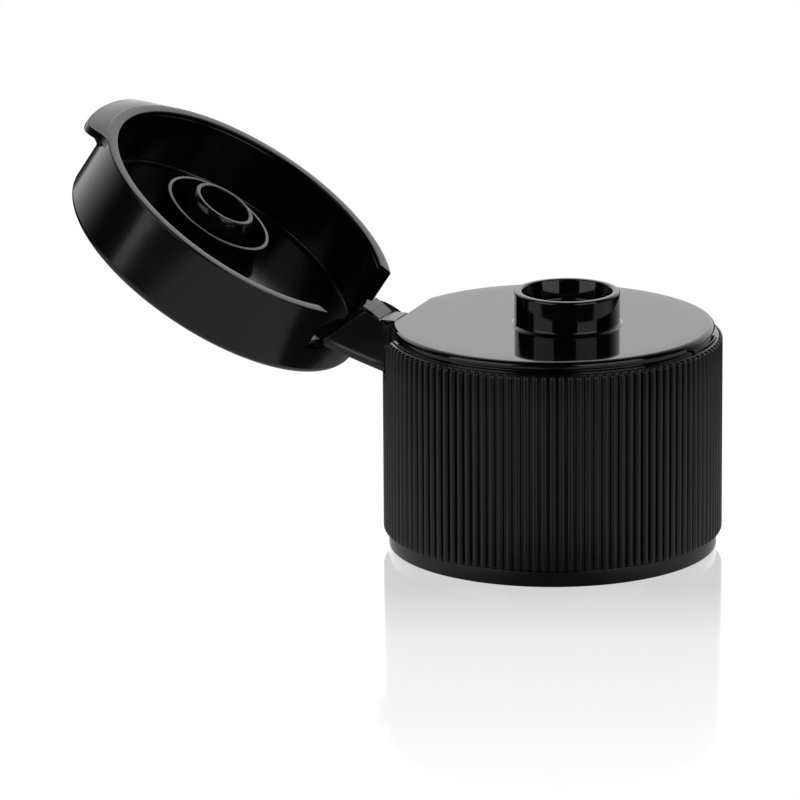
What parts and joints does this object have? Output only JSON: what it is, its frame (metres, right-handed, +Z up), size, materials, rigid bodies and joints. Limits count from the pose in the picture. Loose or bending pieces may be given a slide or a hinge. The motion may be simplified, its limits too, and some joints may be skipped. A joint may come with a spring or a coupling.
{
  "type": "flip lid dispensing closure",
  "caption": "Ribbed screw-on dispensing closure with a short spout and a flip lid on a snapping butterfly hinge, shown open.",
  "frame": {"origin": "centre of the base rim, on the axis of the neck bore", "axes": "+Z up along the bottle's axis, -X toward the hinge, +X toward the thumb side, Y along the strap's films"},
  "size_m": [0.0542, 0.0274, 0.0335],
  "materials": {
    "body_plastic": "black polypropylene, polished deck and spout, satin ribs",
    "lid_plastic": "black polypropylene, smooth satin gloss",
    "hinge_plastic": "black polypropylene, satin"
  },
  "bodies": {
    "base": {"closure_body": "body_plastic"},
    "strap": {"hinge_strap": "hinge_plastic"},
    "wing_left": {"hinge_wing_left": "hinge_plastic"},
    "wing_right": {"hinge_wing_right": "hinge_plastic"},
    "lid": {"flip_lid": "lid_plastic"}
  },
  "joints": [
    {"name": "lid_film", "type": "hinge", "parent": "strap", "child": "lid", "pos_m": [-0.01511, 0, 0.01837], "axis": [0, 1, 0], "range_deg": [0, 73.25]},
    {"name": "body_film", "type": "hinge", "parent": "base", "child": "strap", "pos_m": [-0.01433, 0, 0.01775], "axis": [0, 1, 0], "range_deg": [0, 73.25]},
    {"name": "left_wing_film", "type": "hinge", "parent": "base", "child": "wing_left", "pos_m": [-0.01433, 0.00145, 0.01775], "axis": [0.3785, 0.7729, -0.5092], "range_deg": [0, 87.67]},
    {"name": "right_wing_film", "type": "hinge", "parent": "base", "child": "wing_right", "pos_m": [-0.01433, -0.00145, 0.01775], "axis": [-0.3785, 0.7729, 0.5092], "range_deg": [0, 87.67]}
  ],
  "couplings": [
    {"joint": "lid_film", "follows": "body_film", "ratio": 1},
    {"joint": "left_wing_film", "follows": "body_film", "ratio": 1.1968},
    {"joint": "right_wing_film", "follows": "body_film", "ratio": 1.1968}
  ]
}
